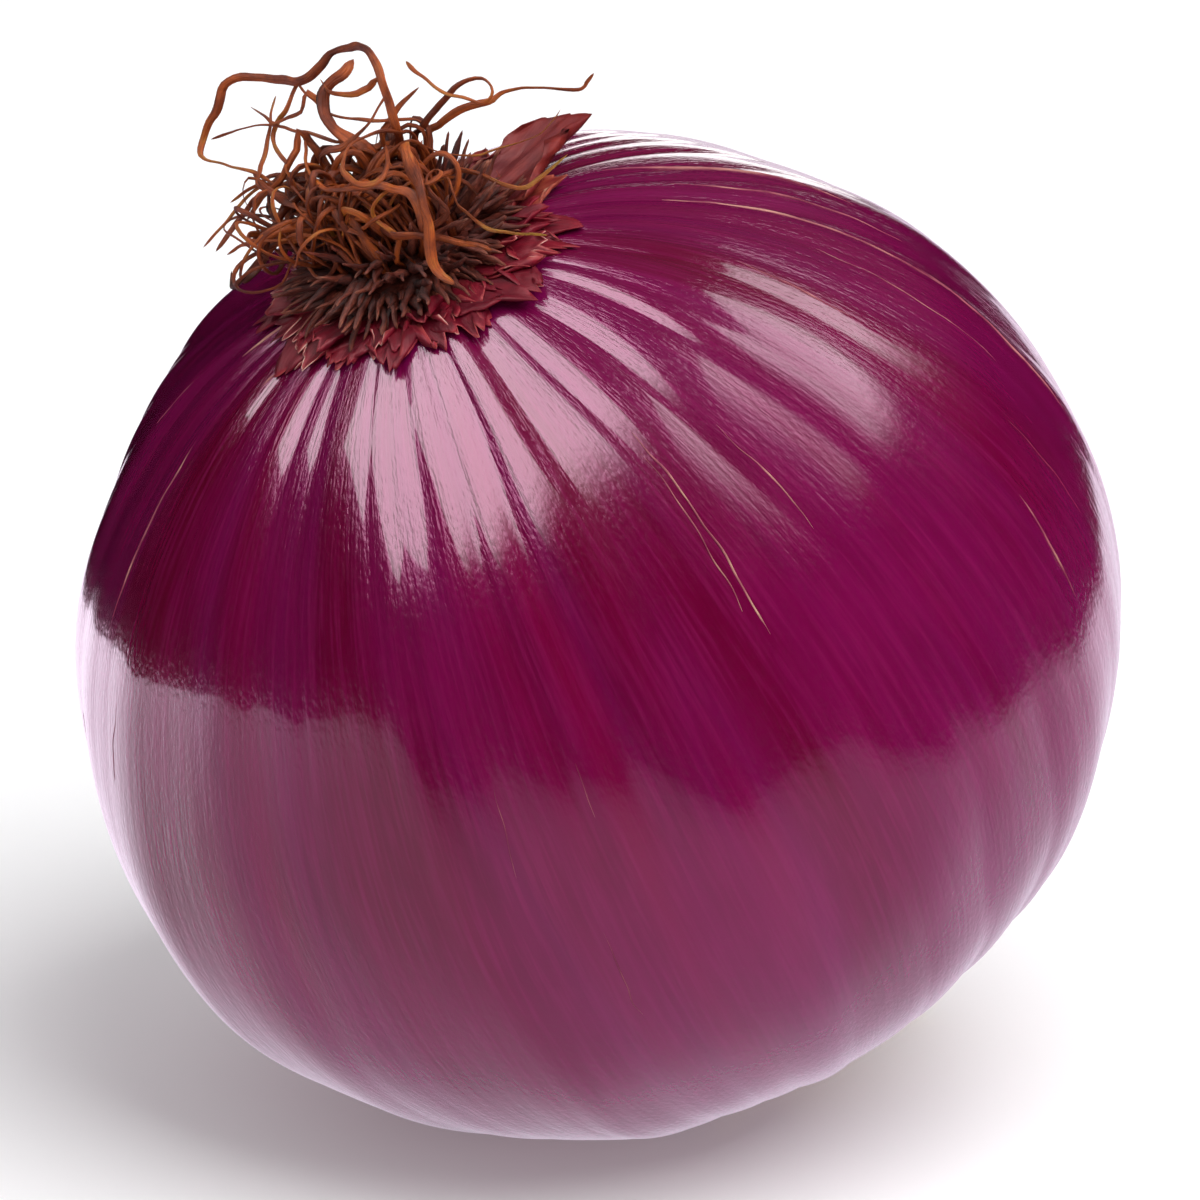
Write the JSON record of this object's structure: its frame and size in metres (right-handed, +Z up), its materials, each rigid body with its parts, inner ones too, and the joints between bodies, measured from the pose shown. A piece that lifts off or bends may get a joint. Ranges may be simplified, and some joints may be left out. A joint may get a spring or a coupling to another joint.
{
  "type": "red onion",
  "caption": "Whole red onion with a dry root tuft, a ring of torn skin and a short folded dry neck, resting on its shoulder.",
  "frame": {"origin": "centre of the small flat spot on the shoulder that the onion rests on", "axes": "+Z up with the onion resting; the root end leans up towards -X and -Y, and the dry neck lies low towards +X and +Y"},
  "size_m": [0.0797, 0.0789, 0.0848],
  "materials": {
    "skin": "glossy magenta-red onion skin with fine lengthwise fibres",
    "root_plate": "dull dark brown corky plate and root stubs",
    "root_fibre": "dry orange-brown root fibre, satin",
    "torn_skin": "dry papery crimson skin with pale torn edges",
    "neck_skin": "dry papery tan and purple neck skin"
  },
  "bodies": {
    "root": {"basal_plate": "root_plate", "bulb": "skin", "neck": "neck_skin", "neck_sheath_01": "neck_skin", "neck_sheath_02": "neck_skin", "neck_sheath_03": "neck_skin", "root_01": "root_fibre", "root_02": "root_fibre", "root_03": "root_fibre", "root_04": "root_fibre", "root_05": "root_fibre", "root_06": "root_fibre", "root_07": "root_fibre", "root_08": "root_fibre", "root_09": "root_fibre", "root_10": "root_fibre", "root_11": "root_fibre", "root_12": "root_fibre", "root_13": "root_fibre", "root_14": "root_fibre", "root_15": "root_fibre", "root_16": "root_fibre", "root_17": "root_fibre", "root_18": "root_fibre", "root_19": "root_fibre", "root_20": "root_fibre", "root_21": "root_fibre", "root_22": "root_fibre", "root_23": "root_fibre", "root_24": "root_fibre", "root_25": "root_fibre", "root_26": "root_fibre", "root_27": "root_fibre", "root_28": "root_fibre", "skin_flake_01": "torn_skin", "skin_flake_02": "torn_skin", "skin_flake_03": "torn_skin", "skin_flake_04": "torn_skin", "skin_flake_05": "torn_skin", "skin_flake_06": "torn_skin", "skin_flake_07": "torn_skin", "skin_flake_08": "torn_skin", "skin_flake_09": "torn_skin", "skin_flake_10": "torn_skin", "skin_flake_11": "torn_skin", "skin_flake_12": "torn_skin", "skin_flake_13": "torn_skin", "skin_flake_14": "torn_skin", "skin_flake_15": "torn_skin"}
  },
  "joints": []
}
